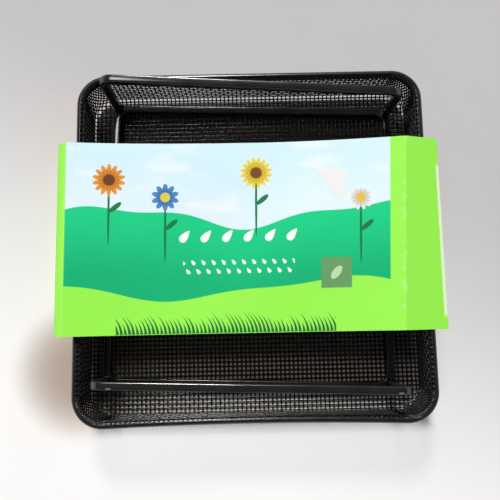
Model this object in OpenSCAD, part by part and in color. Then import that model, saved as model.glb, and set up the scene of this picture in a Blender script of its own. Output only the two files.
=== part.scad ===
// Ground tray for feeding birds: a square tray of drawn wire mesh with a rolled rim.
// Its stand, a square ring with two bent legs, lies upside down inside the tray,
// and a printed card sleeve is wrapped round the middle.
// The tray's centre is at x = 0 and y = 0, and the sleeve's underside is at z = 0.

/* [Tray] */
// Side of the square tray, measured over the rim
tray_side = 280; // [250:1:330]
// Height from the underside of the mesh floor to the top of the rim
tray_h = 45.4; // [38:0.2:60]
// Corner radius, measured over the rim
corner_r = 24; // [18:1:36]
// Thickness of the woven mesh
mesh_t = 1.6; // [1.2:0.1:2.2]
// Outer radius of the bend from the floor to the walls
bend_r = 3; // [2.5:0.5:6]
// Gaps across the floor, each way
floor_gaps = 10; // [4:1:10]
// Gaps along the straight stretch of each wall
wall_gaps = 20; // [8:1:24]
// Rows of gaps up each wall
wall_rows = 3; // [1:1:4]
// Width of the mesh between two gaps in the floor
floor_web = 5; // [3:0.5:7]
// Width of the mesh between two gaps in a wall
wall_web = 4; // [2.5:0.5:5]
// Width of the flat edge between the floor's gaps and the bend
floor_edge = 1; // [0.5:0.5:4]

/* [Rim] */
// Outer diameter of the rolled rim
rim_d = 6.5; // [5.5:0.1:9]
// Sheet thickness of the rolled rim
rim_t = 0.8; // [0.5:0.1:1.2]
// Room between the edge of the mesh and the inside of the rim's top
edge_gap = 1.5; // [0.6:0.1:2]
// Clearance on each side of the mesh in the rim's slot
slot_gap = 0.15; // [0.05:0.05:0.4]

/* [Stand] */
// Room between the ring of the stand and the tray's walls
ring_gap = 15; // [12:0.5:40]
// Outer corner radius of the ring
ring_corner_r = 14; // [10:1:30]
// Width of the square bar
bar_w = 6; // [5:0.5:9]
// Depth of the square bar
bar_d = 6; // [4:0.5:9]
// Width of the bevel along the bar's edges
bar_bevel = 1; // [0.4:0.1:1.6]
// Height of a leg above the ring
leg_h = 51.8; // [30:0.2:80]
// Outer bend radius where a leg turns into its foot bar
leg_bend_r = 12; // [9:1:20]
// Distance of a leg's outer faces from the ring's outer faces
leg_inset = 1.5; // [0.5:0.25:3]
// Lean of the front leg towards the rear at its foot bar
front_lean = 1.5; // [-2:0.5:4]
// Outward lean of the rear leg's left end at its foot bar
rear_lean_left = 6; // [-2:0.5:6]
// Outward lean of the rear leg's right end at its foot bar
rear_lean_right = -1; // [-3:0.5:5]
// Sideways lean of the front leg's left end at its foot bar, outwards
front_splay_left = -1; // [-4:0.5:4]
// Sideways lean of the front leg's right end at its foot bar, outwards
front_splay_right = 4; // [-4:0.5:6]
// Sideways lean of the rear leg's left end at its foot bar, outwards
rear_splay_left = 4; // [-4:0.5:5]
// Sideways lean of the rear leg's right end at its foot bar, outwards
rear_splay_right = 0.5; // [-4:0.5:5]
// Place of the stand in the tray, left to right
stand_x = -1.5; // [-4:0.5:4]
// Place of the stand in the tray, front to rear
stand_y = 5; // [-5:0.5:5]
// Turn of the stand in the tray, clockwise seen from above, in degrees
stand_turn = 2; // [-2:0.5:2]

/* [Card sleeve] */
// Thickness of the card
card_t = 0.6; // [0.4:0.1:1]
// Width of the sleeve, front to rear
sleeve_w = 152; // [100:1:200]
// Distance of the sleeve's middle behind the tray's middle
sleeve_y = 6; // [-15:1:15]
// Room between the tray's walls and the sleeve's lower corners
sleeve_foot_gap = 3.5; // [2:0.5:8]
// Room between the rim and the sleeve's left side, where it bulges most
left_gap = 16; // [8:0.5:20]
// Room between the rim and the sleeve's right shoulder
right_gap = 10.5; // [6:0.5:20]
// Distance from the rim's left edge out to the left fold
left_fold_out = 6; // [3:0.5:10]
// Distance from the rim's right edge in to the right fold
right_fold_in = 21; // [12:0.5:40]
// Height of the folds above the rim
fold_rise = 6.5; // [5.5:0.5:12]
// Clearance between the rim and the card that passes over it
rim_clearance = 0.3; // [0.1:0.1:1]
// Height at which the left side bulges most
left_bulge_z = 39; // [30:1:46]
// Distance by which the right side bows outwards
right_bow = 1.5; // [0:0.5:4]
// Height at which the right side bows outwards
right_bow_z = 26; // [15:1:35]
// Sag of the front panel in its middle
sag = 11; // [4:0.5:16]

/* [Hidden] */
$fn = 64;

// Margin by which a cut runs past the faces that it cuts
past = 1;

// The tray stands on the sleeve's bottom panel
floor_z = card_t;
rim_top_z = floor_z + tray_h;
rim_r = rim_d / 2;
rim_z = rim_top_z - rim_r;

// All sweeps round the tray share the centres of its corners
corner_at = tray_side / 2 - corner_r;
wall_mid_r = corner_r - rim_r;
wall_out_r = wall_mid_r + mesh_t / 2;
wall_in = corner_at + wall_mid_r - mesh_t / 2;
wall_top_z = rim_top_z - rim_t - edge_gap;

// The gaps in the walls stop half a web short of the bend and of the rim
floor_reach = corner_at + wall_out_r - bend_r - floor_edge;
floor_pitch = (2 * floor_reach + floor_web) / floor_gaps;
floor_corner_r = wall_out_r - bend_r - floor_edge;
wall_pitch = (2 * corner_at + wall_web) / wall_gaps;
row_low = floor_z + bend_r + wall_web / 2;
row_high = rim_top_z - rim_d - wall_web / 2;
row_pitch = (row_high - row_low + wall_web) / wall_rows;
row_gap = row_pitch - wall_web;
corner_gap_w = wall_pitch - wall_web;

// The ring lies on the floor and the legs stand on the ring
ring_half = wall_in - ring_gap;
ring_at = ring_half - ring_corner_r;
ring_z = floor_z + mesh_t;
leg_z = ring_z + bar_d;
leg_half = ring_half - leg_inset - bar_w / 2;
foot_bar_z = leg_z + leg_h - bar_d / 2;
leg_mid_bend_r = leg_bend_r - bar_d / 2;
BEND_STEPS = 8;

// Corners of the sleeve in the x and z plane, from the lower left round to the left fold
sleeve_foot = corner_at + wall_out_r + sleeve_foot_gap;
rim_out = tray_side / 2;
fold_z = rim_top_z + fold_rise;
left_fold = [-rim_out - left_fold_out, fold_z];
right_fold = [rim_out - right_fold_in, fold_z];

// Right of its fold the card drops over the rim, just clear of it, to its shoulder
rim_place = [corner_at + wall_mid_r, rim_z];
over_rim = rim_place - right_fold;
clear_r = rim_r + rim_clearance + card_t;
fall = atan2(over_rim[1], over_rim[0]) + asin(clear_r / norm(over_rim));
shoulder_out = rim_out + right_gap;
right_shoulder = [shoulder_out, fold_z + (shoulder_out - right_fold[0]) * tan(fall)];

left_foot = [-sleeve_foot, 0];
right_foot = [sleeve_foot, 0];
left_bulge = [-2 * (rim_out + left_gap) + (sleeve_foot - left_fold[0]) / 2, left_bulge_z];
right_bulge = [shoulder_out + right_bow, right_bow_z];
front_sag = [(left_fold[0] + right_fold[0]) / 2, fold_z - 2 * sag];
SIDE_STEPS = 10;
FRONT_STEPS = 24;

// Points on the curve that leaves a towards b and reaches c, without the last one
function curve(a, b, c, steps) =
    [for (i = [0:steps - 1]) let (t = i / steps) (1 - t) * (1 - t) * a + 2 * t * (1 - t) * b + t * t * c];

function unit(v) = v / norm(v);
function left_of(v) = [-v[1], v[0]];

// A closed outline moved inwards by t, with its corners mitred
function inset(points, t) =
    let (n = len(points))
    [for (i = [0:n - 1])
        let (
            before = left_of(unit(points[i] - points[(i + n - 1) % n])),
            after = left_of(unit(points[(i + 1) % n] - points[i]))
        )
        points[i] + t * (before + after) / (1 + before * after)];

// Carries a section round a square with round corners.
// The section's x is the distance outwards from the centre of a corner.
module round_square_sweep(at) {
    for (turn = [0:90:270]) {
        rotate([0, 0, turn]) translate([at, at, 0]) {
            rotate_extrude(angle = 90) children();
            rotate([90, 0, 0]) linear_extrude(height = 2 * at) children();
        }
    }
}

// Section of the mesh: half the floor's edge, the bend and the wall
module mesh_section() {
    square([wall_out_r - bend_r, mesh_t]);
    translate([wall_out_r - mesh_t, bend_r]) square([mesh_t, wall_top_z - floor_z - bend_r]);
    translate([wall_out_r - bend_r, bend_r]) {
        difference() {
            circle(r = bend_r);
            circle(r = bend_r - mesh_t);
            translate([-2 * bend_r, -bend_r]) square([2 * bend_r, 2 * bend_r]);
            translate([-bend_r, 0]) square([2 * bend_r, bend_r]);
        }
    }
}

// Outline inside which the floor is open, with the tray's round corners
module floor_field() {
    side = 2 * (floor_reach - floor_corner_r);
    square([2 * floor_reach, side], center = true);
    square([side, 2 * floor_reach], center = true);
    for (sx = [-1, 1], sy = [-1, 1]) {
        translate([sx * side / 2, sy * side / 2]) circle(r = floor_corner_r);
    }
}

module floor_cuts() {
    gap = floor_pitch - floor_web;
    translate([0, 0, floor_z - past]) linear_extrude(height = mesh_t + 2 * past) {
        intersection() {
            floor_field();
            for (i = [0:floor_gaps - 1], j = [0:floor_gaps - 1]) {
                translate([-floor_reach + i * floor_pitch, -floor_reach + j * floor_pitch]) square(gap);
            }
        }
    }
}

// Each cut goes through two opposite walls
module wall_cuts() {
    gap = wall_pitch - wall_web;
    across = tray_side + 2 * past;
    for (turn = [0, 90], row = [0:wall_rows - 1], i = [0:wall_gaps - 1]) {
        rotate([0, 0, turn])
            translate([-corner_at + i * wall_pitch, -across / 2, row_low + row * row_pitch])
                cube([gap, across, row_gap]);
    }
}

// Two gaps side by side in each round corner, cut along the tray's diagonals
module corner_cuts() {
    across = 2 * tray_side;
    for (turn = [45, 135], row = [0:wall_rows - 1], side = [-1, 1]) {
        rotate([0, 0, turn])
            translate([0, side * (corner_gap_w + wall_web) / 2, row_low + row * row_pitch + row_gap / 2])
                cube([across, corner_gap_w, row_gap], center = true);
    }
}

module mesh_tray() {
    color("#1b1c1c") difference() {
        union() {
            translate([0, 0, floor_z]) round_square_sweep(corner_at) mesh_section();
            translate([-corner_at, -corner_at, floor_z]) cube([2 * corner_at, 2 * corner_at, mesh_t]);
        }
        floor_cuts();
        wall_cuts();
        corner_cuts();
    }
}

// A tube with a slot in its underside, which takes the edge of the mesh
module rim_section() {
    slot = mesh_t + 2 * slot_gap;
    translate([wall_mid_r, rim_z]) {
        difference() {
            circle(r = rim_r);
            circle(r = rim_r - rim_t);
            translate([-slot / 2, -rim_d]) square([slot, rim_d]);
        }
    }
}

module rim() {
    color("#26282a") round_square_sweep(corner_at) rim_section();
}

// The bar's section with its four edges bevelled, about the middle of the bar
function bar_section() =
    let (x = bar_w / 2, y = bar_d / 2, b = bar_bevel)
    [[x, b - y], [x, y - b], [x - b, y], [b - x, y], [-x, y - b], [-x, b - y], [b - x, -y], [x - b, -y]];

// Everything in the stand shares its place and turn in the tray
module in_stand() {
    translate([stand_x, stand_y, 0]) rotate([0, 0, -stand_turn]) children();
}

module stand_ring() {
    color("#2b2d2f") in_stand() {
        round_square_sweep(ring_at)
            translate([ring_corner_r - bar_w / 2, ring_z + bar_d / 2]) polygon(bar_section());
    }
}

// Middle line of a leg in its own plane, from the left end up, over and down to the right end
function leg_line() =
    let (
        r = leg_mid_bend_r,
        top = foot_bar_z - r,
        side = leg_half - r
    )
    concat(
        [[-leg_half, leg_z]],
        [for (i = [0:BEND_STEPS]) let (a = 180 - 90 * i / BEND_STEPS) [-side + r * cos(a), top + r * sin(a)]],
        [for (i = [0:BEND_STEPS]) let (a = 90 - 90 * i / BEND_STEPS) [side + r * cos(a), top + r * sin(a)]],
        [[leg_half, leg_z]]
    );

// The leg's middle line in space, where its two ends may lean and splay by different amounts.
// Each pair holds the left end's amount and the right end's.
function leg_points(y, lean, splay) =
    [for (p = leg_line())
        let (
            share = (p[0] + leg_half) / (2 * leg_half),
            back = lean[0] + (lean[1] - lean[0]) * share,
            aside = (splay[0] + splay[1]) * share - splay[0],
            rise = (p[1] - leg_z) / (foot_bar_z - leg_z)
        )
        [p[0] + aside * rise, y + back * rise, p[1]]];

// Direction of the middle line at point i, upright at both ends so that they seat flat
function along(points, i) =
    let (last = len(points) - 1)
    i == 0 ? [0, 0, 1] : i == last ? [0, 0, -1] : unit(points[i + 1] - points[i - 1]);

// The bar's section carried along a line in space
module bar_along(points) {
    section = bar_section();
    m = len(section);
    n = len(points);
    corners = [for (i = [0:n - 1])
        let (
            ahead = along(points, i),
            side = unit([0, 1, 0] - ahead[1] * ahead),
            up = cross(ahead, side)
        )
        for (p = section) points[i] + p[0] * side + p[1] * up];
    walls = [for (i = [0:n - 2], j = [0:m - 1])
        let (k = (j + 1) % m)
        [i * m + j, (i + 1) * m + j, (i + 1) * m + k, i * m + k]];
    start = [for (j = [0:m - 1]) j];
    end = [for (j = [m - 1:-1:0]) (n - 1) * m + j];
    polyhedron(points = corners, faces = concat([start], walls, [end]), convexity = 4);
}

module front_leg() {
    lean = [front_lean, front_lean];
    splay = [front_splay_left, front_splay_right];
    color("#2b2d2f") in_stand() bar_along(leg_points(-leg_half, lean, splay));
}

module rear_leg() {
    lean = [rear_lean_left, rear_lean_right];
    splay = [rear_splay_left, rear_splay_right];
    color("#2b2d2f") in_stand() bar_along(leg_points(leg_half, lean, splay));
}

// One strip of card folded into a loop, glued under the tray
module card_sleeve() {
    outer = concat(
        [left_foot],
        curve(right_foot, right_bulge, right_shoulder, SIDE_STEPS),
        [right_shoulder],
        curve(right_fold, front_sag, left_fold, FRONT_STEPS),
        curve(left_fold, left_bulge, left_foot, SIDE_STEPS)
    );
    inner = inset(outer, card_t);
    n = len(outer);
    color("#9be24a") translate([0, sleeve_y + sleeve_w / 2, 0]) rotate([90, 0, 0])
        linear_extrude(height = sleeve_w)
            polygon(
                points = concat(outer, inner),
                paths = [[for (i = [0:n - 1]) i], [for (i = [0:n - 1]) n + i]]
            );
}

mesh_tray();
rim();
stand_ring();
front_leg();
rear_leg();
card_sleeve();
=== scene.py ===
"""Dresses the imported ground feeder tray: woven wire, coated bars, a printed card sleeve and a stage."""

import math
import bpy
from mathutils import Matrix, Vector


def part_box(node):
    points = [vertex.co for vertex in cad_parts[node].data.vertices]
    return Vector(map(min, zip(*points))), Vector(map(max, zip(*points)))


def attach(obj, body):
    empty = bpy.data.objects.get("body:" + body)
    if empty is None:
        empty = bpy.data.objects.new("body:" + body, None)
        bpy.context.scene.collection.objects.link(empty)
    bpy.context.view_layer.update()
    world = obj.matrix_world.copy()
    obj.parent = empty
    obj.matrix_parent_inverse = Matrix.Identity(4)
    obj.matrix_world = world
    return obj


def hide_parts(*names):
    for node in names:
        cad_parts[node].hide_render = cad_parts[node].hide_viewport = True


bl_info = {
    "name": "Ground feeder tray",
    "version": (1, 0, 0),
    "blender": (4, 5, 0),
    "location": "View3D > Sidebar > Feeder",
    "description": "Woven wire, coated bars and a printed sleeve for the packed feeder tray",
    "category": "Object",
}

from bisect import bisect_left

import bmesh
import bpy
from bpy.props import FloatProperty, FloatVectorProperty, PointerProperty
from bpy.types import Operator, Panel, PropertyGroup
from mathutils import Matrix, Vector

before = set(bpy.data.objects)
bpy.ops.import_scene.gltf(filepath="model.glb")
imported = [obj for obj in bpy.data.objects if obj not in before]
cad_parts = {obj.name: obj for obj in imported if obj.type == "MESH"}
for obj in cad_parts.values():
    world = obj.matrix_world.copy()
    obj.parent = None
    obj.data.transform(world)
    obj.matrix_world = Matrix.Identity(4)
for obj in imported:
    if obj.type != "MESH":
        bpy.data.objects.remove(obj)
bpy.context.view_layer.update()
MM = 0.001

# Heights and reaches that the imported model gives, in metres
RIM_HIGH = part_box("rim")[1]
TRAY_LOW, TRAY_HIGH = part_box("mesh_tray")
RING_LOW, RING_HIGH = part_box("stand_ring")
LEG_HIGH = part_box("front_leg")[1]

QUARTER = math.pi / 2
# Points closer than this are one point
SAME_PLACE = 0.01 * MM

# The camera that fits the rim's four corners in the photograph, in pixels, degrees and millimetres
PHOTO_SIDE, FOCAL_LENGTH, SENSOR_WIDTH = 500, 542, 36
CAMERA_ELEVATION, CAMERA_ROLL = 82.9, -1.15
CAMERA_AIM, CAMERA_DISTANCE = (-1.8, -5.9, 46), 423.3


# ---------------------------------------------------------------- sizes and colours


def length(name, description, millimetres):
    """A length in metres, given in millimetres."""
    return FloatProperty(
        name=name, description=description, default=millimetres * MM, unit="LENGTH", precision=5
    )


def lengths(name, description, first, second):
    """Two lengths in metres, given in millimetres."""
    pair = (first * MM, second * MM)
    return FloatVectorProperty(
        name=name, description=description, default=pair, size=2, unit="LENGTH", precision=5
    )


def colour(name, description, value):
    return FloatVectorProperty(
        name=name, description=description, default=value, subtype="COLOR", size=3, min=0, max=1
    )


class TraySizes(PropertyGroup):
    pitch: length("Mesh pitch", "From one wire to the next", 3.65)
    wire: length("Wire", "Thickness of a coated wire", 1.3)
    lift: length("Weave", "How far a wire rises and falls at each crossing", 0.25)
    thickness: length("Mesh thickness", "Thickness that the packed tray gives the mesh", 1.6)
    corner: length("Corner radius", "Radius of the round corners at the middle of the mesh", 20.75)
    bend: length("Bend", "Radius between the floor and the walls", 2.2)
    curl: length("Curl", "Radius of the wires over the inside of the rim", 2.72)
    rim_radius: length("Rim radius", "Outer radius of the rim", 3.25)
    core_radius: length("Core radius", "Radius of the rod inside the rim", 2.1)
    front_bow: length("Front bow", "How far the front rim is pulled in at its middle", 2.5)


class StandSizes(PropertyGroup):
    bar: length("Bar", "Width and height of the square bar", 6)
    round: length("Edge rounding", "Rounding of the bar's long edges", 1.0)
    ring_corner: length("Ring corner", "Outer radius of the ring's corners", 14)
    ring_half: length("Ring half", "Half the outer side of the ring", 120.95)
    leg_inset: length("Leg inset", "From the ring's outer face to the legs", 1.5)
    leg_bend: length("Leg bend", "Outer radius of the bends in the legs", 12)
    front_lean: lengths("Front lean", "Lean of the front leg backwards, at its left and right end", 1.5, 1.5)
    rear_lean: lengths("Rear lean", "The same of the rear leg", 6, -1)
    front_splay: lengths("Front splay", "Lean of the front leg's left and right end outwards", -1, 4)
    rear_splay: lengths("Rear splay", "The same of the rear leg", 4, 0.5)
    shift: lengths("Shift", "Place of the stand in the tray, sideways and backwards", -1.5, 5)
    turn: FloatProperty(
        name="Turn",
        description="How the stand lies turned in the tray",
        default=math.radians(-2),
        subtype="ANGLE",
    )


class SleeveSizes(PropertyGroup):
    card: length("Card", "Thickness of the card", 0.6)
    front_edge: length("Front edge", "Where the sleeve starts", -70)
    rear_edge: length("Rear edge", "Where the sleeve ends", 82)
    foot: length("Foot", "Half the width of the part under the tray", 141.05)
    left_fold: length("Left fold", "Place of the left fold", -146)
    right_fold: length("Right fold", "Place of the right fold at the middle", 119)
    fold_height: length("Fold height", "Height of both folds", 52.5)
    shoulder: lengths("Shoulder", "Reach and height of the right shoulder", 150.5, 42.9)
    left_pull: lengths("Left pull", "Place and height of the pull that bends the left side", -168.45, 39)
    right_pull: lengths("Right pull", "The same of the right side", 152, 26)
    sag: length("Sag", "How far the front panel sags", 11)
    slant: FloatProperty(
        name="Slant", description="Slant of the right fold, in length per length", default=0.055
    )


class Finishes(PropertyGroup):
    coat: colour("Coat", "Powder coat on wire and bars", (0.011, 0.0115, 0.0115))
    lime: colour("Lime", "Ground colour of the print", (0.33, 0.9, 0.085))
    green: colour("Green", "Deep green of the print", (0.012, 0.62, 0.245))
    sky: colour("Sky", "Pale blue of the print", (0.68, 0.88, 0.98))
    ink: colour("Ink", "Dark green of the small motifs", (0.02, 0.17, 0.05))
    board: colour("Board", "Bare inside of the card", (0.62, 0.59, 0.54))
    floor: colour("Floor", "Colour of the floor", (1.0, 0.995, 0.99))


# ---------------------------------------------------------------- small tools


def new_object(name, mesh, *materials):
    """Links a mesh to the scene as a piece that rides on the tray."""
    piece = bpy.data.objects.new(name, mesh)
    bpy.context.scene.collection.objects.link(piece)
    for material in materials:
        mesh.materials.append(material)
    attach(piece, "root")
    return piece


def to_mesh(name, bm):
    """Writes a bmesh to a new mesh and frees it."""
    mesh = bpy.data.meshes.new(name)
    bm.to_mesh(mesh)
    bm.free()
    return mesh


def smooth_mesh(name, bm):
    """The same, with its normals outwards and smooth shading."""
    bmesh.ops.recalc_face_normals(bm, faces=bm.faces)
    mesh = to_mesh(name, bm)
    mesh.shade_smooth()
    return mesh


def curve_mesh(name, lines, radius, rounds=1):
    """A mesh of round wires along lists of points, each a place or a place with its own radius."""
    curve = bpy.data.curves.new(name, "CURVE")
    curve.dimensions = "3D"
    curve.bevel_depth = radius
    curve.bevel_resolution = rounds
    curve.use_fill_caps = True
    for line in lines:
        spline = curve.splines.new("POLY")
        spline.points.add(len(line) - 1)
        for point, place in zip(spline.points, line):
            point.co = (*place[:3], 1)
            point.radius = place[3] if len(place) > 3 else 1
    holder = bpy.data.objects.new(name, curve)
    mesh = bpy.data.meshes.new_from_object(holder)
    bpy.data.objects.remove(holder)
    bpy.data.curves.remove(curve)
    mesh.shade_smooth()
    return mesh


def grow(bm, parts, vector):
    """Extrudes a row of edges or a region of faces by a vector. Returns its far end."""
    kind = type(parts[0])
    if kind is bmesh.types.BMEdge:
        grown = bmesh.ops.extrude_edge_only(bm, edges=parts)["geom"]
    else:
        grown = bmesh.ops.extrude_face_region(bm, geom=parts)["geom"]
    bmesh.ops.translate(bm, vec=vector, verts=[g for g in grown if isinstance(g, bmesh.types.BMVert)])
    return [g for g in grown if isinstance(g, kind)]


def swing(bm, parts, centre, axis, steps):
    """Spins a row of edges or a region of faces a quarter turn. Returns its far end."""
    spun = bmesh.ops.spin(
        bm, geom=parts, cent=centre, axis=axis, angle=QUARTER, steps=steps, use_merge=False
    )["geom_last"]
    return [g for g in spun if isinstance(g, type(parts[0]))]


def scaled(colour, share):
    """A colour made darker or paler."""
    return tuple(min(1.0, channel * share) for channel in colour)


# ---------------------------------------------------------------- shader tools


class Value:
    """A socket to reckon with: each operation adds its node to the tree."""

    def __init__(self, tree, socket):
        self.tree, self.socket = tree, socket

    def __add__(self, other):
        return self.tree.math("ADD", self, other)

    def __sub__(self, other):
        return self.tree.math("SUBTRACT", self, other)

    def __rsub__(self, other):
        return self.tree.math("SUBTRACT", other, self)

    def __mul__(self, other):
        return self.tree.math("MULTIPLY", self, other)

    def __truediv__(self, other):
        return self.tree.math("DIVIDE", self, other)

    def __pow__(self, power):
        return self.tree.math("POWER", self, power)

    def __abs__(self):
        return self.tree.math("ABSOLUTE", self)

    __radd__, __rmul__ = __add__, __mul__


class Tree:
    """Adds nodes to a shader tree. An input is a Value, a socket or a plain number, place or colour."""

    def __init__(self, tree):
        self.nodes = tree.nodes
        self.links = tree.links

    def feed(self, socket, value):
        """Links or sets one input."""
        if isinstance(value, Value):
            value = value.socket
        if isinstance(value, bpy.types.NodeSocket):
            self.links.new(value, socket)
        elif socket.type == "RGBA" and len(value) == 3:
            socket.default_value = (*value, 1)
        else:
            socket.default_value = value

    def fill(self, node, **inputs):
        """Feeds inputs by name, where _ stands for a space."""
        for name, value in inputs.items():
            self.feed(node.inputs[name.replace("_", " ")], value)

    def add(self, kind, settings=None, **inputs):
        node = self.nodes.new(kind)
        for name, value in (settings or {}).items():
            setattr(node, name, value)
        self.fill(node, **inputs)
        return node

    def named(self, node):
        """A node's outputs by name."""
        return {socket.name: Value(self, socket) for socket in node.outputs}

    def group(self, group, **inputs):
        return self.named(self.add("ShaderNodeGroup", {"node_tree": group}, **inputs))

    def coordinates(self, name):
        return self.named(self.add("ShaderNodeTexCoord"))[name]

    def math(self, operation, *values):
        node = self.add("ShaderNodeMath", {"operation": operation})
        for socket, value in zip(node.inputs, values):
            self.feed(socket, value)
        return Value(self, node.outputs[0])

    def largest(self, first, *others):
        for value in others:
            first = self.math("MAXIMUM", first, value)
        return first

    def smallest(self, first, *others):
        for value in others:
            first = self.math("MINIMUM", first, value)
        return first

    def mix(self, share, a, b, method="MIX"):
        """Colour a where the share is 0 and colour b where it is 1."""
        node = self.add("ShaderNodeMix", {"data_type": "RGBA", "blend_type": method})
        for index, value in ((0, share), (6, a), (7, b)):
            self.feed(node.inputs[index], value)
        return Value(self, node.outputs[2])

    def tinted(self, a, b):
        return self.mix(1.0, a, b, "MULTIPLY")

    def blend(self, share, a, b):
        """Number a where the share is 0 and number b where it is 1."""
        node = self.add("ShaderNodeMix", {"data_type": "FLOAT"})
        for index, value in ((0, share), (2, a), (3, b)):
            self.feed(node.inputs[index], value)
        return Value(self, node.outputs[0])

    def step(self, value, low, high):
        """0 below low and 1 above high, with a smooth rise between."""
        smooth = {"interpolation_type": "SMOOTHSTEP"}
        node = self.add("ShaderNodeMapRange", smooth, Value=value, From_Min=low, From_Max=high)
        return Value(self, node.outputs["Result"])

    def fall(self, value, low, high):
        """1 below low and 0 above high."""
        return 1.0 - self.step(value, low, high)

    def between(self, value, low, high, soft):
        """1 from low to high, and 0 outside."""
        return self.step(value, low, low + soft) * self.fall(value, high, high + soft)

    def oval(self, x, y, width, height):
        """0 at the origin and 1 on the edge of an oval round it."""
        return (x / width) ** 2.0 + (y / height) ** 2.0

    def turned(self, x, y, angle):
        """The place in axes that are turned by an angle."""
        c, s = self.math("COSINE", angle), self.math("SINE", angle)
        return x * c + y * s, y * c - x * s

    def noise(self, place, scale, detail, roughness):
        """Noise from 0 to 1. Its scale is one number, or three where it is stretched."""
        if isinstance(scale, tuple):
            place, scale = self.add("ShaderNodeMapping", Vector=place, Scale=scale).outputs[0], 1.0
        node = self.add("ShaderNodeTexNoise", Vector=place, Scale=scale, Detail=detail, Roughness=roughness)
        return Value(self, node.outputs[0])

    def bump(self, strength, millimetres, height):
        node = self.add("ShaderNodeBump", Strength=strength, Distance=millimetres * MM, Height=height)
        return node.outputs["Normal"]

    def split(self, vector):
        return [Value(self, s) for s in self.add("ShaderNodeSeparateXYZ", Vector=vector).outputs]

    def join(self, x, y):
        return self.add("ShaderNodeCombineXYZ", X=x, Y=y).outputs[0]

    def seen(self):
        """1 for the rays by which the eye sees a thing, and 0 for the light that it sheds."""
        path = self.named(self.add("ShaderNodeLightPath"))
        return self.largest(*(path[f"Is {kind} Ray"] for kind in ("Camera", "Glossy", "Transmission")))


def socket_kind(name):
    """Colours and places are known by their names. All other sockets are plain numbers."""
    return {"Colour": "NodeSocketColor", "Vector": "NodeSocketVector"}.get(name, "NodeSocketFloat")


def new_group(name, inputs, outputs):
    """A node group. Its inputs are names with defaults, and its outputs are names."""
    group = bpy.data.node_groups.new(name, "ShaderNodeTree")
    for label, default in inputs.items():
        socket = group.interface.new_socket(label, in_out="INPUT", socket_type=socket_kind(label))
        if default is not None:
            socket.default_value = default
    for label in outputs:
        group.interface.new_socket(label, in_out="OUTPUT", socket_type=socket_kind(label))
    tree = Tree(group)
    return group, tree, tree.named(group.nodes.new("NodeGroupInput")), group.nodes.new("NodeGroupOutput")


def new_material(name):
    """A material with its tree and its shader."""
    material = bpy.data.materials.new(name)
    material.use_nodes = True
    return material, Tree(material.node_tree), material.node_tree.nodes["Principled BSDF"]


# ---------------------------------------------------------------- finishes


def coat_group():
    """Satin powder coat: a fine pebbled skin, worn smoother in patches, with a little dust."""
    group, tree, given, result = new_group(
        "Powder coat",
        {"Vector": None, "Colour": None, "Grain size": 1500.0, "Roughness": 0.4, "Dust": 0.1},
        ("Colour", "Roughness", "Height"),
    )
    place = given["Vector"]
    worn, dust = (0.018, 0.0185, 0.018), (0.35, 0.33, 0.3)
    patches = tree.noise(place, 45.0, 3, 0.6)
    specks = tree.step(tree.noise(place, 950.0, 2, 0.7), 0.68, 0.74)
    dusty = specks * given["Dust"] * tree.step(patches, 0.35, 0.7)
    shade = tree.mix(tree.step(patches, 0.3, 0.75), given["Colour"], worn)
    tree.fill(
        result,
        Colour=tree.mix(dusty, shade, dust),
        Roughness=given["Roughness"] + (patches - 0.5) * 0.1 + dusty,
        Height=tree.noise(place, given["Grain size"], 2, 0.55),
    )
    return group


def coated_metal(name, group, roughness, grain, height, dust, shine):
    """A powder coat. Its grain has a fineness, and a height in millimetres."""
    material, tree, shader = new_material(name)
    skin = tree.group(
        group,
        Vector=tree.coordinates("Object"),
        Colour=tuple(bpy.context.scene.feeder_finishes.coat),
        Grain_size=grain,
        Roughness=roughness,
        Dust=dust,
    )
    tree.fill(
        shader,
        Base_Color=skin["Colour"],
        Roughness=skin["Roughness"],
        Normal=tree.bump(0.6, height, skin["Height"]),
        Specular_IOR_Level=shine,
    )
    return material


def painted_glints(material):
    """Two small marks near the ends of the front foot bar, painted lighter as their glints."""
    tree = Tree(material.node_tree)
    shader = material.node_tree.nodes["Principled BSDF"]
    x, y, z = tree.split(tree.coordinates("Object"))
    on_top = tree.step(z, 0.056, 0.0575)
    glint_mask = 0.0
    for cx, cy in ((-108.0, -108.2), (107.0, -115.6)):
        away = tree.oval(x - cx * MM, y - cy * MM, 2.6 * MM, 1.0 * MM)
        glint_mask = tree.largest(glint_mask, tree.fall(away, 0.4, 1.0) * on_top)
    coat = shader.inputs["Base Color"].links[0].from_socket
    # Painted highlight: the marks are lightened towards grey as their glints
    tree.fill(shader, Base_Color=tree.mix(glint_mask * 0.7, coat, (0.24, 0.245, 0.24)))


class Coats:
    """The coated metal finishes, made once."""

    made = {}

    @classmethod
    def get(cls, name):
        if not cls.made:
            group = coat_group()
            cls.made = {
                "wire": coated_metal("Coated wire", group, 0.22, 1400.0, 0.012, 0.05, 0.3),
                "rim": coated_metal("Coated rim", group, 0.22, 1300.0, 0.015, 0.08, 0.4),
                "bar": coated_metal("Coated bar", group, 0.17, 1200.0, 0.02, 0.1, 0.7),
            }
            painted_glints(cls.made["bar"])
        return cls.made[name]


# ---------------------------------------------------------------- the tray's wires


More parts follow.
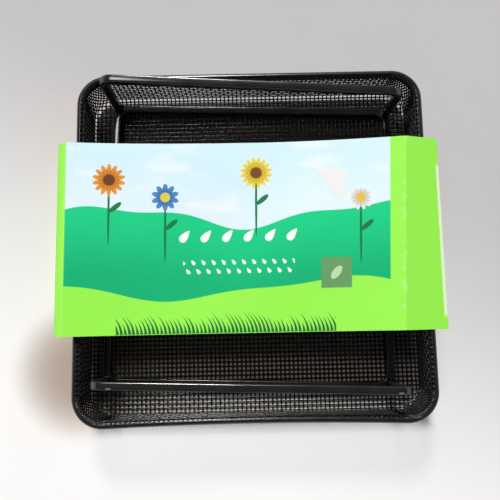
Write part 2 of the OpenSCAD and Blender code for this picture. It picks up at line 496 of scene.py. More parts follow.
class Drape:
    """Lays a flat sheet of mesh into the tray: on its floor, up its walls and over the rim's inside."""

    def __init__(self, sizes):
        half = TRAY_HIGH.x - sizes.thickness / 2
        self.centre = half - sizes.corner
        self.flat_corner = sizes.corner - sizes.bend
        self.flat_half = half - sizes.bend
        self.floor = TRAY_LOW.z + sizes.thickness / 2
        self.bow = sizes.front_bow
        self.rim_z = RIM_HIGH.z - sizes.rim_radius
        self.walk = self.profile(sizes)
        self.reach = self.walk[-1][0]

    def profile(self, sizes):
        """Points up the wall as (distance along it, outwards, upwards, heading), each a short step on."""
        lean, sway, stride = math.radians(40), 3 * MM, 0.25 * MM
        start_angle = QUARTER + lean
        # Where the curl starts, from the middle of the rim
        from_middle = sizes.curl * math.sin(start_angle), sizes.curl * math.cos(start_angle)
        inwards = from_middle[0] - sway * (1 - math.cos(lean))
        slope = inwards / math.sin(lean)
        rise = sway * math.sin(lean) + slope * math.cos(lean)
        wall = self.rim_z + from_middle[1] - rise - self.floor - sizes.bend
        legs = (
            (QUARTER, sizes.bend, 0),
            (0, 0, wall),
            (lean, sway, 0),
            (0, 0, slope),
            (-start_angle, sizes.curl, 0),
        )
        place, heading, along = Vector((0, 0)), 0.0, 0.0
        walk = [(0.0, 0.0, 0.0, 0.0)]
        for turn, radius, level in legs:
            span = abs(turn) * radius if turn else level
            steps = max(1, round(span / stride))
            for _ in range(steps):
                heading += turn / steps / 2
                place += Vector((math.cos(heading), math.sin(heading))) * span / steps
                heading += turn / steps / 2
                along += span / steps
                walk.append((along, place.x, place.y, heading))
        return walk

    def on_profile(self, along):
        """Outwards, upwards and heading at a distance up the wall."""
        index = bisect_left(self.walk, along, lo=1, hi=len(self.walk) - 1, key=lambda point: point[0])
        a, b = self.walk[index - 1], self.walk[index]
        t = (along - a[0]) / (b[0] - a[0])
        return tuple(a[k] + (b[k] - a[k]) * t for k in (1, 2, 3))

    def distance(self, u, v):
        """How far up the wall a point of the sheet comes, and the direction in which its wall faces."""
        x, y = abs(u) - self.centre, abs(v) - self.centre
        if x > 0 and y > 0:
            span, angle = math.hypot(x, y), math.atan2(y, x)
            beyond = span - self.flat_corner
            if beyond > 0:
                # Cells sheared into a round corner grow taller as they grow narrow
                r = self.flat_corner
                q = math.sqrt(2 * span * span - r * r)
                tall = q - r * math.atan(q / r) - r * (1 - math.pi / 4)
                beyond += (tall - beyond) * math.sin(2 * angle) ** 2
            return beyond, angle
        return max(abs(u), abs(v)) - self.flat_half, 0.0 if abs(u) > abs(v) else QUARTER

    def place(self, u, v, lift):
        """The place of a point of the sheet, moved off the sheet by lift."""
        beyond, angle = self.distance(u, v)
        if beyond <= 0:
            return Vector((u, v, self.floor + lift)), 0.0
        out, up, heading = self.on_profile(min(beyond, self.reach))
        out -= lift * math.sin(heading)
        up += lift * math.cos(heading)
        sx, sy = math.copysign(1, u), math.copysign(1, v)
        x, y = abs(u), abs(v)
        if x > self.centre and y > self.centre:
            span = self.flat_corner + out
            x, y = self.centre + span * math.cos(angle), self.centre + span * math.sin(angle)
        elif angle == 0:
            x = self.flat_half + out
        else:
            y = self.flat_half + out
        return self.bowed(Vector((sx * x, sy * y, self.floor + up))), heading

    def bowed(self, place):
        """Pulls the middle of the front rim in, and the wall below it with it."""
        front = max(0.0, -place.y - self.centre) / (RIM_HIGH.y - self.centre)
        side = 1 - min(1.0, abs(place.x) / self.centre) ** 2
        rise = max(0.0, place.z / RIM_HIGH.z) ** 2
        place.y += self.bow * front * side * rise
        return place


def wire_line(drape, sizes, row, last, across):
    """One wire of the sheet, from rim to rim. Across is True for wires that run from left to right."""
    halvings, bend_step = 18, math.radians(24)

    def at(step):
        u, v = (step, row) if across else (row, step)
        return u * sizes.pitch, v * sizes.pitch

    def inside(step):
        return drape.distance(*at(step))[0] <= drape.reach

    steps = [step for step in range(-last, last + 1) if inside(step)]
    if not steps:
        return None

    def end(near, far):
        """The step, not a whole one, at which the wire meets the end of the sheet."""
        for _ in range(halvings):
            middle = (near + far) / 2
            near, far = (middle, far) if inside(middle) else (near, middle)
        return near

    def over(step):
        return sizes.lift * math.cos(math.pi * (step + row + (0 if across else 1)))

    whole = [end(steps[0], steps[0] - 1), *steps, end(steps[-1], steps[-1] + 1)]
    line = []
    for a, b in zip(whole, whole[1:]):
        turn = abs(drape.place(*at(b), 0)[1] - drape.place(*at(a), 0)[1])
        parts = max(1, math.ceil(turn / bend_step))
        for k in range(parts):
            step = a + (b - a) * k / parts
            line.append(drape.place(*at(step), over(step))[0])
    line.append(drape.place(*at(whole[-1]), over(whole[-1]))[0])
    return line


def woven_wires(across):
    """All wires of the sheet that run one way."""
    sizes = bpy.context.scene.feeder_tray
    drape = Drape(sizes)
    last = math.ceil((drape.flat_half + drape.reach) / sizes.pitch)
    lines = [wire_line(drape, sizes, row, last, across) for row in range(-last, last + 1)]
    return [line for line in lines if line]


class FEEDER_OT_mesh(Operator):
    """Weaves the tray from two families of wires, cut from one flat sheet and drawn into its corners"""

    bl_idname = "feeder.mesh"
    bl_label = "Weave the mesh"

    def execute(self, context):
        radius = context.scene.feeder_tray.wire / 2
        for name, across in (("mesh_weft", True), ("mesh_warp", False)):
            mesh = curve_mesh(name, woven_wires(across), radius)
            piece = new_object(name, mesh, Coats.get("wire"))
            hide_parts("mesh_tray")
        return {"FINISHED"}


# ---------------------------------------------------------------- bars and rim


def round_square(bm, section, centre, steps, parts):
    """Carries a section's edges round a square with round corners, in parts along its sides.

    The section stands at the right side, where the front corner ends."""
    edges = section
    for turn in range(4):
        angle = turn * QUARTER
        ahead = Vector((-math.sin(angle), math.cos(angle), 0)) * 2 * centre / parts
        for _ in range(parts):
            edges = grow(bm, edges, ahead)
        corner = Matrix.Rotation(angle, 3, "Z") @ Vector((centre, centre, 0))
        edges = swing(bm, edges, corner, (0, 0, 1), steps)
    bmesh.ops.remove_doubles(bm, verts=bm.verts, dist=SAME_PLACE)


def loop_edges(bm, places):
    """Edges through a closed row of places."""
    verts = [bm.verts.new(place) for place in places]
    return [bm.edges.new(pair) for pair in zip(verts, verts[1:] + verts[:1])]


def bar_section(bm, sizes, middle, across, up):
    """The bar's square section with rounded corners, about its middle, as faces."""
    h = sizes.bar / 2
    corners = ((-1, -1), (1, -1), (1, 1), (-1, 1))
    verts = [bm.verts.new(middle + across * x * h + up * y * h) for x, y in corners]
    bm.faces.new(verts)
    bmesh.ops.bevel(
        bm, geom=verts, offset=sizes.round, affect="VERTICES", segments=3, profile=0.5, material=-1
    )
    return list(bm.faces)


def stand_place(sizes):
    """The place in the tray of the stand, which is built square and centred."""
    return Matrix.Translation((*sizes.shift, 0)) @ Matrix.Rotation(sizes.turn, 4, "Z")


def leg_reach(sizes):
    """From the stand's middle to the middle lines of its legs."""
    return sizes.ring_half - sizes.leg_inset - sizes.bar / 2


def stand_ring(sizes):
    bm = bmesh.new()
    centre = sizes.ring_half - sizes.ring_corner
    middle = Vector((sizes.ring_half - sizes.bar / 2, -centre, (RING_LOW.z + RING_HIGH.z) / 2))
    faces = bar_section(bm, sizes, middle, Vector((1, 0, 0)), Vector((0, 0, 1)))
    edges = list(faces[0].edges)
    bmesh.ops.delete(bm, geom=faces, context="FACES_ONLY")
    round_square(bm, edges, centre, steps=12, parts=8)
    bmesh.ops.transform(bm, matrix=stand_place(sizes), verts=bm.verts)
    return bm


def stand_leg(sizes, y, lean, splay):
    """One bar bent to a wide U that stands upside down on the ring.

    Lean and splay hold the amounts at its left and right end."""
    bm = bmesh.new()
    reach = leg_reach(sizes)
    bend = sizes.leg_bend - sizes.bar / 2
    low, top = RING_HIGH.z, LEG_HIGH.z - sizes.bar / 2
    upright, foot_bar = Vector((0, 0, top - bend - low)), Vector((2 * (reach - bend), 0, 0))
    faces = bar_section(bm, sizes, Vector((-reach, y, low)), Vector((1, 0, 0)), Vector((0, 1, 0)))
    # Up, over and down, with a bend round each of the two centres between
    course = (upright, 4, bend - reach), (foot_bar, 12, reach - bend), (-upright, 4, None)
    for vector, parts, centre in course:
        for _ in range(parts):
            faces = grow(bm, faces, vector / parts)
        if centre is not None:
            faces = swing(bm, faces, (centre, y, top - bend), (0, 1, 0), steps=12)
    inner = [f for f in bm.faces if all(len(e.link_faces) > 2 for e in f.edges)]
    bmesh.ops.delete(bm, geom=inner, context="FACES")
    for vert in bm.verts:
        share = (vert.co.x + reach) / (2 * reach)
        rise = (vert.co.z - low) / (top - low)
        vert.co.y += (lean[0] + (lean[1] - lean[0]) * share) * rise
        vert.co.x += ((splay[0] + splay[1]) * share - splay[0]) * rise
    bmesh.ops.transform(bm, matrix=stand_place(sizes), verts=bm.verts)
    return bm


def weld_lines(sizes):
    """Rippled beads round three sides of each foot, as places with a radius."""
    reach, place, h = leg_reach(sizes), stand_place(sizes), sizes.bar / 2
    path, parts = ((h, -h), (h, h), (-h, h), (-h, -h)), 8
    unevenness, rhythm, bead_z = 0.22, 2.4, RING_HIGH.z + 0.2 * MM
    lines = []
    for sx, sy in ((-1, -1), (-1, 1), (1, -1), (1, 1)):
        line = []
        for (x0, y0), (x1, y1) in zip(path, path[1:]):
            for k in range(parts):
                t = k / parts
                x, y = x0 + (x1 - x0) * t, y0 + (y1 - y0) * t
                ripple = 1.0 + unevenness * math.sin(rhythm * (len(line) + sx + 2 * sy))
                spot = place @ Vector((sx * reach + x, sy * reach - sy * y, bead_z))
                line.append((*spot, ripple))
        lines.append(line)
    return lines


class FEEDER_OT_rim(Operator):
    """Rolls the rim: a smooth strip over the outside and a rod that the wires curl over"""

    bl_idname = "feeder.rim"
    bl_label = "Roll the rim"

    def execute(self, context):
        sizes = context.scene.feeder_tray
        drape = Drape(sizes)
        middle = Vector((drape.centre + sizes.corner, -drape.centre, drape.rim_z))

        def arc(radius, start, stop, steps):
            """Places round the middle of the rim, from one angle to another in degrees."""
            angles = [math.radians(start + (stop - start) * k / steps) for k in range(steps + 1)]
            return [middle + Vector((math.cos(a), 0, math.sin(a))) * radius for a in angles]

        # The strip runs from just inside the top of the rim, over the outside, to its underside
        top, underside, thickness = 101, -112, 0.75 * MM
        outside = arc(sizes.rim_radius, top, underside, 20)
        strip = outside + arc(sizes.rim_radius - thickness, underside, top, 20)
        # The rod has twelve sides
        core = arc(sizes.core_radius, 0, 330, 11)
        for name, section in (("rim_strip", strip), ("rim_core", core)):
            bm = bmesh.new()
            round_square(bm, loop_edges(bm, section), drape.centre, steps=14, parts=16)
            for vert in bm.verts:
                vert.co = drape.bowed(vert.co)
            piece = new_object(name, smooth_mesh(name, bm), Coats.get("rim"))
            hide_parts("rim")
        return {"FINISHED"}


class FEEDER_OT_stand(Operator):
    """Bends the stand's ring and its two legs, and lays the weld beads at their feet"""

    bl_idname = "feeder.stand"
    bl_label = "Bend the stand"

    def execute(self, context):
        sizes = context.scene.feeder_stand
        reach = leg_reach(sizes)
        parts = (
            ("ring_bar", stand_ring(sizes), "stand_ring"),
            ("front_leg_bar", stand_leg(sizes, -reach, sizes.front_lean, sizes.front_splay), "front_leg"),
            ("rear_leg_bar", stand_leg(sizes, reach, sizes.rear_lean, sizes.rear_splay), "rear_leg"),
        )
        for name, bm, node in parts:
            piece = new_object(name, smooth_mesh(name, bm), Coats.get("bar"))
            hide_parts(node)
        bead_radius = 0.85 * MM
        beads = curve_mesh("weld_beads", weld_lines(sizes), bead_radius, rounds=2)
        welds = new_object("weld_beads", beads, Coats.get("bar"))
        return {"FINISHED"}


# ---------------------------------------------------------------- the sleeve


def bent(a, pull, b, steps):
    """Points on the curve from a to b that pull bends, without the last one."""
    shares = [k / steps for k in range(steps)]
    return [a * (1 - t) ** 2 + pull * 2 * t * (1 - t) + b * t * t for t in shares]


def straight(a, b, steps):
    """Points on the line from a to b, without the last one."""
    return [a.lerp(b, k / steps) for k in range(steps)]


def sleeve_loop(sizes):
    """The sleeve's outer line in x and z from its left foot, and the place of its left fold in it."""
    left_foot, right_foot = Vector((-sizes.foot, 0)), Vector((sizes.foot, 0))
    left = Vector((sizes.left_fold, sizes.fold_height))
    right = Vector((sizes.right_fold, sizes.fold_height))
    shoulder, left_pull, right_pull = (
        Vector(place) for place in (sizes.shoulder, sizes.left_pull, sizes.right_pull)
    )
    front_pull = Vector(((left.x + right.x) / 2, sizes.fold_height - 2 * sizes.sag))
    to_fold = (
        straight(left_foot, right_foot, 12)
        + bent(right_foot, right_pull, shoulder, 10)
        + straight(shoulder, right, 6)
        + bent(right, front_pull, left, 36)
    )
    return to_fold + bent(left, left_pull, left_foot, 10), len(to_fold)


def warp_sleeve(bm, sizes):
    """Slants the right fold, and makes the front panel as uneven as card is."""
    middle_y = (sizes.rear_edge + sizes.front_edge) / 2
    width = sizes.right_fold - sizes.left_fold
    # Below this height the sides stay as they are
    base, fall = 30 * MM, 0.14
    unevenness, wave_x, wave_y = 0.5 * MM, 31 * MM, 24 * MM
    for vert in bm.verts:
        x, y, z = vert.co
        if z < base:
            continue
        if x <= sizes.right_fold:
            weight = max(0.0, (x - sizes.left_fold) / width) ** 2
        else:
            weight = max(0.0, (sizes.shoulder[0] - x) / (sizes.shoulder[0] - sizes.right_fold))
        shift = sizes.slant * (y - middle_y) * weight
        vert.co.x += shift
        vert.co.z -= fall * shift
        if x < sizes.right_fold:
            inside = max(0.0, 1 - (2 * (x - sizes.left_fold) / width - 1) ** 2)
            vert.co.z += unevenness * inside * math.sin(x / wave_x) * math.cos(y / wave_y)


def sleeve_mesh(sizes):
    """The sleeve as one open sheet of its outer face, with a flat pattern of the card as its UV map."""
    points, left_index = sleeve_loop(sizes)
    along = [0.0]
    for a, b in zip(points, points[1:] + points[:1]):
        along.append(along[-1] + (b - a).length)
    bm = bmesh.new()
    uv = bm.loops.layers.uv.new("card")
    flat = bm.verts.layers.float_vector.new("flat")
    verts = [bm.verts.new((p.x, sizes.rear_edge, p.y)) for p in points + points[:1]]
    for vert, distance in zip(verts, along):
        vert[flat] = (along[left_index] - distance, sizes.rear_edge, 0)
    edges = [bm.edges.new(pair) for pair in zip(verts, verts[1:])]
    # From the rear edge to the front one in even rows
    rows, depth = 30, sizes.rear_edge - sizes.front_edge
    for _ in range(rows):
        edges = grow(bm, edges, (0, -depth / rows, 0))
    for face in bm.faces:
        for loop in face.loops:
            loop[uv].uv = (loop.vert[flat].x, loop.vert.co.y)
    bmesh.ops.remove_doubles(bm, verts=bm.verts, dist=SAME_PLACE)
    warp_sleeve(bm, sizes)
    bmesh.ops.recalc_face_normals(bm, faces=bm.faces)
    over_tray = Vector((0, 0, 42 * MM))
    front_face = min(bm.faces, key=lambda f: (f.calc_center_median() - over_tray).length)
    if front_face.normal.z < 0:
        bmesh.ops.reverse_faces(bm, faces=bm.faces)
    return to_mesh("card_print", bm)


def blob_group():
    """An oval: 1 inside and 0 outside, turned and placed on the flat card, all in millimetres."""
    group, tree, given, result = new_group(
        "Blob",
        {"X": 0.0, "Y": 0.0, "Centre X": 0.0, "Centre Y": 0.0, "Width": 1.0, "Height": 1.0, "Turn": 0.0},
        ("Mask",),
    )
    x, y = given["X"] - given["Centre X"], given["Y"] - given["Centre Y"]
    along, across = tree.turned(x, y, given["Turn"])
    away = tree.oval(along, across, given["Width"], given["Height"])
    tree.fill(result, Mask=tree.fall(away, 0.94, 1.06))
    return group


def flower_group():
    """A round flower: masks for its petals and its heart, and the shade along each petal."""
    group, tree, given, result = new_group(
        "Flower",
        {"X": 0.0, "Y": 0.0, "Centre X": 0.0, "Centre Y": 0.0, "Radius": 10.0, "Petals": 12.0, "Heart": 0.35},
        ("Petals", "Heart", "Shade"),
    )
    x, y = given["X"] - given["Centre X"], given["Y"] - given["Centre Y"]
    span = tree.math("SQRT", x * x + y * y)
    wave = abs(tree.math("SINE", tree.math("ARCTAN2", y, x) * (given["Petals"] * 0.5)))
    # Between two petals the edge draws in to this share of the radius
    notch = 0.62
    share = span / (given["Radius"] * (notch + wave * (1.0 - notch)))
    tree.fill(
        result,
        Petals=tree.fall(share, 0.96, 1.03),
        Heart=tree.fall(span / (given["Radius"] * given["Heart"]), 0.92, 1.06),
        Shade=wave * tree.step(share, 0.1, 1.0),
    )
    return group


def seed_group():
    """Staggered rows of small leaning seeds, pointed at one end, in millimetres."""
    group, tree, given, result = new_group(
        "Seed rows",
        {"X": 0.0, "Y": 0.0, "Across": 10.0, "Down": 8.0, "Width": 3.0, "Height": 1.5, "Turn": 0.6},
        ("Mask",),
    )
    row = given["Y"] / given["Down"]
    shift = tree.math("MODULO", tree.math("FLOOR", row), 2.0) * 0.5
    column = given["X"] / given["Across"] + shift
    x = (tree.math("FRACT", column) - 0.5) * given["Across"]
    y = (tree.math("FRACT", row) - 0.5) * given["Down"]
    along, across = tree.turned(x, y, given["Turn"])
    taper = 1.0 - along / given["Width"] * 0.55
    away = tree.oval(along, across, given["Width"], given["Height"] * taper)
    tree.fill(result, Mask=tree.fall(away, 0.9, 1.1))
    return group


def grass_group():
    """A row of grass blades that stand on the line y = 0, in millimetres."""
    group, tree, given, result = new_group(
        "Grass", {"X": 0.0, "Y": 0.0, "Spacing": 4.0, "Tall": 8.0}, ("Mask",)
    )
    lean = given["Y"] * given["Y"] * 0.03
    column = (given["X"] + lean) / given["Spacing"]
    # A number from 0 to 1 for each blade, from the far digits of a sine
    chance = tree.math("FRACT", tree.math("SINE", tree.math("FLOOR", column) * 12.99) * 437.6)
    tall = given["Tall"] * (0.45 + chance * 0.55)
    half = (1.0 - given["Y"] / tall) * 0.42
    off = abs(tree.math("FRACT", column) - 0.5)
    tree.fill(result, Mask=tree.step(half - off, -0.02, 0.03))
    return group


# Each flower of the print: its place and radius in millimetres, its petals, petal colour and heart colour
BLOOMS = (
    (34.0, 52.0, 13.0, 14.0, (0.9, 0.32, 0.03), (0.16, 0.05, 0.015)),
    (78.0, 38.0, 11.0, 10.0, (0.09, 0.28, 0.62), (0.75, 0.62, 0.1)),
    (150.0, 57.0, 13.0, 16.0, (0.95, 0.72, 0.05), (0.2, 0.07, 0.02)),
    (232.0, 34.0, 10.0, 12.0, (0.92, 0.9, 0.84), (0.85, 0.5, 0.05)),
)

# Each band of seeds: its left and right end, middle, half height and where its rows start, its colour,
# and the seeds' spacing across and down, width, height and turn
SEED_BANDS = (
    (84.0, 186.0, 6.5, 7.5, -1.0, (0.93, 0.95, 0.93), (17.0, 15.0, 5.6, 2.7, 0.9)),
    (92.0, 180.0, -18.0, 7.0, -18.0, (0.9, 0.94, 0.9), (8.0, 7.0, 2.3, 1.2, 2.2)),
)


class Artwork:
    """Print of the builder's own: sky over a green hill and a lime meadow, with flowers, seeds and grass.

    Places are millimetres on the flat card: x to the right of the left fold, and y to the rear."""

    def __init__(self, tree, finishes):
        self.tree = tree
        across, deep, _ = tree.split(tree.add("ShaderNodeUVMap", {"uv_map": "card"}).outputs[0])
        self.x, self.y = across * 1000.0, deep * 1000.0
        self.spot = tree.join(self.x, self.y)
        self.lime, self.green = tuple(finishes.lime), tuple(finishes.green)
        self.sky, self.ink = tuple(finishes.sky), tuple(finishes.ink)
        self.blobs = blob_group()

    def blob(self, x, y, width, height, turn):
        return self.tree.group(
            self.blobs, X=self.x, Y=self.y, Centre_X=x, Centre_Y=y, Width=width, Height=height, Turn=turn
        )["Mask"]

    def rolling(self, level, *waves):
        """Height of a rolling line across the card. Each wave has a rise, a span and a phase."""
        for rise, span, phase in waves:
            level = level + self.tree.math("SINE", self.x / span + phase) * rise
        return level

    def landscape(self):
        tree, y = self.tree, self.y
        hill = self.rolling(22.0, (8.0, 33.0, 0.4), (3.0, 14.0, 1.0))
        meadow = self.rolling(-36.0, (7.0, 41.0, 2.6), (2.0, 17.0, 0.3))
        haze, cloud = (0.76, 0.9, 0.95), (0.9, 0.96, 1.0)
        clouds = tree.step(tree.noise(self.spot, (0.018, 0.05, 1), 3, 0.5), 0.5, 0.68)
        heaven = tree.mix(clouds * 0.6, tree.mix(tree.step(y - hill, 2.0, 42.0), haze, self.sky), cloud)
        slope = tree.mix(tree.step(hill - y, 0.0, 60.0), self.green, scaled(self.green, 0.72))
        ground = tree.mix(tree.step(y - hill, -0.3, 0.3), slope, heaven)
        return tree.mix(tree.step(meadow - y, -0.3, 0.3), ground, self.lime)

    def blooms(self, ground):
        """Flowers, each on a stem with one leaf."""
        tree, flowers, half_stem = self.tree, flower_group(), 26.0
        for cx, cy, radius, count, petal, heart in BLOOMS:
            stem = self.blob(cx, cy - half_stem, 0.9, half_stem, 0.0)
            leaf = self.blob(cx + 5.0, cy - 22.0, 6.0, 2.0, 0.7)
            ground = tree.mix(tree.largest(stem, leaf), ground, (0.01, 0.2, 0.06))
            bloom = tree.group(
                flowers, X=self.x, Y=self.y, Centre_X=cx, Centre_Y=cy, Radius=radius, Petals=count, Heart=0.36
            )
            ground = tree.mix(bloom["Petals"], ground, tree.mix(bloom["Shade"], scaled(petal, 0.55), petal))
            ground = tree.mix(bloom["Heart"], ground, heart)
        return ground

    def seed_rows(self, ground):
        """White seeds across the hill, and smaller ones over the meadow."""
        tree, x, y, seeds = self.tree, self.x, self.y, seed_group()
        for left, right, middle, half, start, tone, (across, down, width, height, turn) in SEED_BANDS:
            rows = tree.group(
                seeds, X=x, Y=y - start, Across=across, Down=down, Width=width, Height=height, Turn=turn
            )["Mask"]
            band = tree.between(x, left, right, 0.6) * tree.fall(abs(y - middle), half - 0.1, half + 0.1)
            ground = tree.mix(rows * band, ground, tone)
        return ground

    def grass_row(self, ground):
        """Blades along the card's front edge."""
        tree, foot = self.tree, -70.0
        blades = tree.group(grass_group(), X=self.x, Y=self.y - foot, Spacing=3.1, Tall=17.0)["Mask"]
        stretch = tree.between(self.x, 40.0, 212.0, 1.0)
        return tree.mix(blades * stretch * tree.step(self.y, foot + 0.2, foot + 0.6), ground, self.ink)

    def badge(self, ground):
        """The little square badge, bare but for one seed."""
        tree, cx, cy = self.tree, 213.0, -24.6
        away = tree.largest(abs(self.x - cx), abs(self.y - cy))
        ground = tree.mix(tree.fall(away, 11.6, 12.2), ground, (0.14, 0.34, 0.13))
        return tree.mix(self.blob(cx, cy, 6.0, 3.0, 0.9), ground, (0.5, 0.72, 0.42))

    def printed(self):
        """The whole print, with the plain lime sides and the pale unprinted strip down the right side."""
        tree, x = self.tree, self.x
        ground = self.landscape()
        for draw in (self.blooms, self.seed_rows, self.grass_row, self.badge):
            ground = draw(ground)
        field = tree.step(x, 0.6, 1.4) * tree.fall(x, 254.0, 255.0)
        strip = tree.fall(abs(x - 297.6), 1.0, 1.6) * tree.step(abs(self.y), 62.0, 58.0)
        return tree.mix(strip * 0.8, tree.mix(field, self.lime, ground), (0.93, 0.94, 0.8))

    def torn_label(self):
        """The label's remnant: a wedge under its top edge, left of its right edge and right of the tear."""
        tree, x, y = self.tree, self.x, self.y
        under_top = 61.0 - (x - 195.0) * 0.18 - y
        in_right = 212.5 + y * 0.177 - x
        wobble = (tree.noise(self.spot, 0.35, 3, 0.6) - 0.5) * 7.0
        past_tear = x - 239.0 + y * 0.72 + wobble
        return tree.step(tree.smallest(under_top, in_right, past_tear), -0.1, 0.5)

    def wear(self):
        """Scuffs beside the right fold, scratches down the right side and the crease of the left fold."""
        tree, x = self.tree, self.x
        near_fold = tree.fall(abs(x - 266.0), 1.0, 4.5)
        scuffs = near_fold * tree.step(tree.noise(self.spot, 0.16, 4, 0.7), 0.5, 0.62)
        scratches = tree.step(tree.noise(self.spot, (0.9, 0.09, 1), 4, 0.7), 0.66, 0.7)
        crease = tree.fall(abs(x), 0.2, 0.7)
        return tree.largest(scuffs * 0.2, tree.step(x, 268.0, 272.0) * scratches * 0.3, crease * 0.15)


def printed_card(finishes):
    """Satin print, worn and a little dented, with the bare remnant of a torn-off label."""
    material, tree, shader = new_material("Printed card")
    art = Artwork(tree, finishes)
    torn, wear = art.torn_label(), art.wear()
    fibres = tree.noise(art.spot, (0.5, 2.2, 1), 4, 0.65)
    paper = tree.mix(fibres, (0.78, 0.76, 0.76), (0.95, 0.92, 0.92))
    satin = tree.blend(torn, 0.42 + tree.noise(art.spot, 0.05, 3, 0.6) * 0.16, 0.85)
    dents = tree.noise(art.spot, 0.03, 3, 0.5) * 0.8 + torn * 0.12 + fibres * (torn * 0.05)
    tree.fill(
        shader,
        Base_Color=tree.mix(wear, tree.mix(torn, art.printed(), paper), (0.85, 0.93, 0.72)),
        Roughness=satin + wear * 0.4,
        Normal=tree.bump(0.5, 1.0, dents),
        Specular_IOR_Level=0.12,
    )
    return material


def bare_board(finishes):
    """Grey board with short fibres, on the sleeve's inside and its cut edges."""
    material, tree, shader = new_material("Bare board")
    place, pale = tree.coordinates("Object"), tuple(finishes.board)
    fibres = tree.noise(place, (300, 1400, 900), 4, 0.7)
    flecks = tree.step(tree.noise(place, 700.0, 3, 0.7), 0.62, 0.7)
    tone = tree.mix(fibres, scaled(pale, 0.82), scaled(pale, 1.12))
    tree.fill(
        shader,
        Base_Color=tree.mix(flecks * 0.35, tone, (0.33, 0.3, 0.26)),
        Roughness=0.85,
        Normal=tree.bump(0.4, 0.1, fibres),
    )
    return material


def mark_folds(mesh):
    """Keeps the cut edges crisp, and the folds where the card turns by more than a little."""
    bm = bmesh.new()
    bm.from_mesh(mesh)
    for edge in bm.edges:
        if len(edge.link_faces) == 1 or edge.calc_face_angle() > math.radians(12):
            edge.smooth = False
    bm.to_mesh(mesh)
    bm.free()


class FEEDER_OT_sleeve(Operator):
    """Folds the printed card sleeve round the tray, with its sagging front and slanted right fold"""

    bl_idname = "feeder.sleeve"
    bl_label = "Fold the sleeve"

    def execute(self, context):
        sizes = context.scene.feeder_sleeve
        finishes = context.scene.feeder_finishes
        coats = printed_card(finishes), bare_board(finishes)
        sleeve = new_object("printed_sleeve", sleeve_mesh(sizes), *coats)
        solid = sleeve.modifiers.new("card", "SOLIDIFY")
        solid.thickness = sizes.card
        solid.offset = -1
        solid.use_even_offset = True
        # The second material lies on the inside and on the cut edges
        solid.material_offset = 1
        solid.material_offset_rim = 1
        sleeve.data.shade_smooth()
        mark_folds(sleeve.data)
        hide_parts("card_sleeve")
        return {"FINISHED"}


# ---------------------------------------------------------------- stage


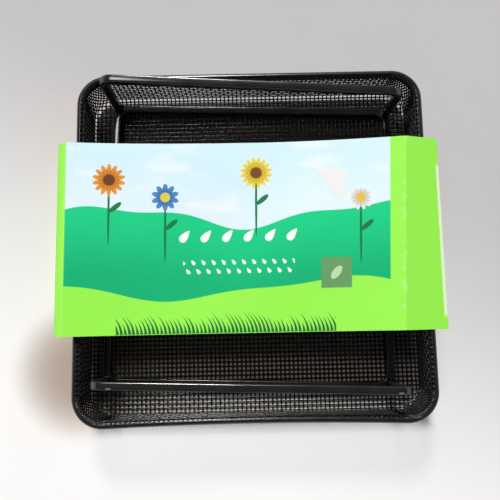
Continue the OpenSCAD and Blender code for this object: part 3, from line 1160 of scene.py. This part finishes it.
class FEEDER_OT_stage(Operator):
    """Sets the pale floor with its painted shade, the soft lamps and the camera"""

    bl_idname = "feeder.stage"
    bl_label = "Set the stage"

    def execute(self, context):
        self.floor(context)
        self.lamps(context)
        self.world(context)
        self.camera(context)
        context.scene.view_settings.view_transform = "Standard"
        return {"FINISHED"}

    def floor(self, context):
        half, drop = 20, 0.15 * MM
        bm = bmesh.new()
        bmesh.ops.create_grid(bm, x_segments=8, y_segments=8, size=half)
        bmesh.ops.translate(bm, vec=(0, 0, -drop), verts=bm.verts)
        mesh = to_mesh("floor", bm)
        mesh.materials.append(self.floor_material(tuple(context.scene.feeder_finishes.floor)))
        floor = bpy.data.objects.new("floor", mesh)
        context.scene.collection.objects.link(floor)

    def floor_material(self, pale):
        """A pale floor with painted shade near and under the tray. Its places are metres, and the tray
        reaches to 0.14 each way.
        """
        material, tree, shader = new_material("Pale floor")
        place = tree.coordinates("Object")
        x, y, _ = tree.split(place)
        wide = tree.largest(abs(x), abs(y))
        # Painted shade: the floor is a little greyer behind the tray and to its right, where the light falls
        # off
        tone = tree.mix(tree.step(x * 0.45 + y, -0.22, 0.14), (1.0, 1.0, 1.0), (0.58, 0.57, 0.58))
        dark, light = (tree.tinted(tone, scaled(pale, share)) for share in (0.95, 1.04))
        tone = tree.mix(tree.noise(place, 9.0, 5, 0.6), dark, light)
        # A painted soft warm shadow lies on it beside the front left corner
        painted_shadow = tree.fall(tree.oval(x + 0.145, y + 0.1, 0.062, 0.06), 0.0, 1.1)
        tone = tree.mix(painted_shadow, tone, tree.tinted(tone, (0.47, 0.4, 0.35)))
        # Painted shade: under the tray the floor is painted warm at the front and dark at the rear
        painted_shade_under_tray = tree.mix(tree.step(y, -0.07, 0.09), (1.0, 0.86, 0.72), (0.07, 0.06, 0.05))
        floor_tint_and_painted_shade = tree.mix(tree.fall(wide, 0.112, 0.137), (1.0, 0.93, 0.88), painted_shade_under_tray)
        # The floor's colour takes the warm tint, and under the tray the painted shade
        tree.fill(shader, Base_Color=tree.tinted(tone, floor_tint_and_painted_shade), Roughness=0.8, Specular_IOR_Level=0.2)
        # The eye sees the floor paler than the lamps leave it, away from the tray
        left = tree.step(x * -1.0, 0.138, 0.225)
        near = tree.step(y * -1.0, 0.141, 0.158)
        clear = tree.largest(left, near, tree.step(tree.largest(x, y), 0.139, 0.152))
        lift = clear * tree.blend(tree.step(wide, 0.4, 1.6), 0.85, 1.0)
        glow = tree.add("ShaderNodeEmission", Color=tone, Strength=1.0)
        mixed = tree.add("ShaderNodeMixShader")
        for socket, value in zip(mixed.inputs, (tree.seen() * lift, shader.outputs[0], glow.outputs[0])):
            tree.feed(socket, value)
        tree.fill(material.node_tree.nodes["Material Output"], Surface=mixed.outputs[0])
        return material

    def lamps(self, context):
        """A low sun behind the tray and a small panel above it."""
        key = bpy.data.lights.new("key", "SUN")
        key.energy, key.angle = 4.2, math.radians(11)
        panel = bpy.data.lights.new("panel", "AREA")
        panel.shape, panel.size, panel.energy = "SQUARE", 0.24, 2.2
        # Each lamp with its place and its aim
        for lamp, place, aim in (
            (key, (-0.1, 0.76, 0.63), (0, 0, 0)),
            (panel, (-0.44, 0.52, 1.12), (-0.1, 0.08, 0.05)),
        ):
            holder = bpy.data.objects.new(lamp.name, lamp)
            holder.location = place
            holder.rotation_euler = (Vector(aim) - Vector(place)).to_track_quat("-Z", "Y").to_euler()
            context.scene.collection.objects.link(holder)

    def world(self, context):
        """The eye sees a pale horizon all round, under a dim ceiling. It lights the tray only dimly."""
        world = bpy.data.worlds.new("room")
        world.use_nodes = True
        tree = Tree(world.node_tree)
        _, rear, up = tree.split(tree.coordinates("Generated"))
        shed, ceiling, visible = tree.blend(tree.step(rear, -0.3, 0.5), 0.1, 0.5), 0.06, 0.85
        strength = tree.blend(tree.step(up, 0.2, 0.42), tree.blend(tree.seen(), shed, visible), ceiling)
        tree.fill(world.node_tree.nodes["Background"], Color=(1, 1, 1, 1), Strength=strength)
        context.scene.world = world

    def camera(self, context):
        """A camera at the photograph's angle, found from the rim's four corners."""
        tilt, roll = math.radians(90 - CAMERA_ELEVATION), math.radians(CAMERA_ROLL)
        turn = Matrix.Rotation(tilt, 4, "X") @ Matrix.Rotation(roll, 4, "Z")
        camera = bpy.data.cameras.new("camera")
        camera.sensor_width = SENSOR_WIDTH
        camera.lens = FOCAL_LENGTH / PHOTO_SIDE * SENSOR_WIDTH
        camera.clip_start, camera.clip_end = 0.02, 50
        holder = bpy.data.objects.new("camera", camera)
        place = (Vector(CAMERA_AIM) + turn.col[2].to_3d() * CAMERA_DISTANCE) * MM
        holder.matrix_world = Matrix.Translation(place) @ turn
        context.scene.collection.objects.link(holder)
        context.scene.camera = holder


# ---------------------------------------------------------------- panel and run


class FEEDER_PT_panel(Panel):
    """Lists the steps that dress the tray"""

    bl_label = "Feeder tray"
    bl_idname = "FEEDER_PT_panel"
    bl_space_type = "VIEW_3D"
    bl_region_type = "UI"
    bl_category = "Feeder"

    def draw(self, context):
        for name, kind in GROUPS.items():
            box = self.layout.box()
            for field in kind.__annotations__:
                box.prop(getattr(context.scene, name), field)
        for step in STEPS:
            self.layout.operator(step.bl_idname)


# The property groups, by the name that each has in the scene
GROUPS = {
    "feeder_tray": TraySizes,
    "feeder_stand": StandSizes,
    "feeder_sleeve": SleeveSizes,
    "feeder_finishes": Finishes,
}
STEPS = (FEEDER_OT_stage, FEEDER_OT_mesh, FEEDER_OT_rim, FEEDER_OT_stand, FEEDER_OT_sleeve)
CLASSES = (*GROUPS.values(), *STEPS, FEEDER_PT_panel)


def register():
    for cls in CLASSES:
        bpy.utils.register_class(cls)
    for name, kind in GROUPS.items():
        setattr(bpy.types.Scene, name, PointerProperty(type=kind))


def unregister():
    for name in GROUPS:
        delattr(bpy.types.Scene, name)
    for cls in reversed(CLASSES):
        bpy.utils.unregister_class(cls)


def main():
    register()
    bpy.ops.feeder.stage()
    bpy.ops.feeder.mesh()
    bpy.ops.feeder.rim()
    bpy.ops.feeder.stand()
    bpy.ops.feeder.sleeve()


if __name__ == "__main__":
    main()
